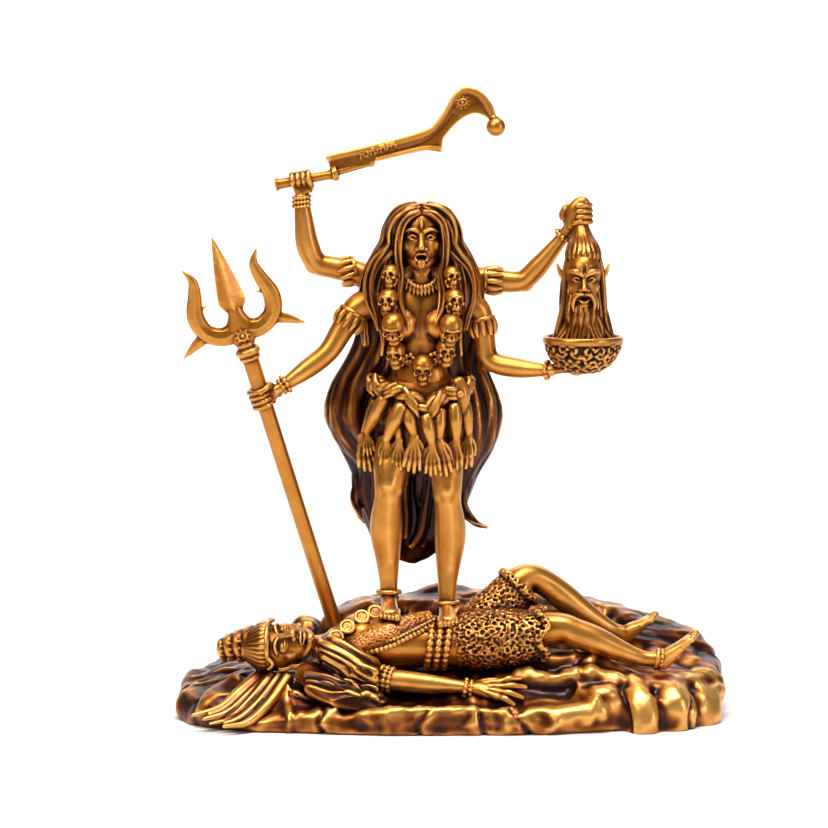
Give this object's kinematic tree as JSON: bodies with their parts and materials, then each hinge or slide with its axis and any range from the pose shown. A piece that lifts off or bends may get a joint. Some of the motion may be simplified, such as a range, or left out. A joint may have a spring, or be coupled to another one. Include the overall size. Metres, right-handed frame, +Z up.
{
  "type": "kali figure",
  "caption": "Gold-finished cast statue of a four-armed goddess with sword, trident, severed head and bowl, standing on a god who lies on a rock.",
  "frame": {"origin": "middle of the rock's flat underside", "axes": "+Z up, the front faces -Y, +X is the standing figure's left, towards the lying figure's feet"},
  "size_m": [0.1936, 0.09, 0.2199],
  "materials": {
    "antique_gold": "gold-coloured cold-cast resin, satin on the raised forms, with dark brown patina in the recesses"
  },
  "bodies": {
    "root": {"base": "antique_gold", "figure": "antique_gold", "trident": "antique_gold", "sword": "antique_gold"}
  },
  "joints": []
}
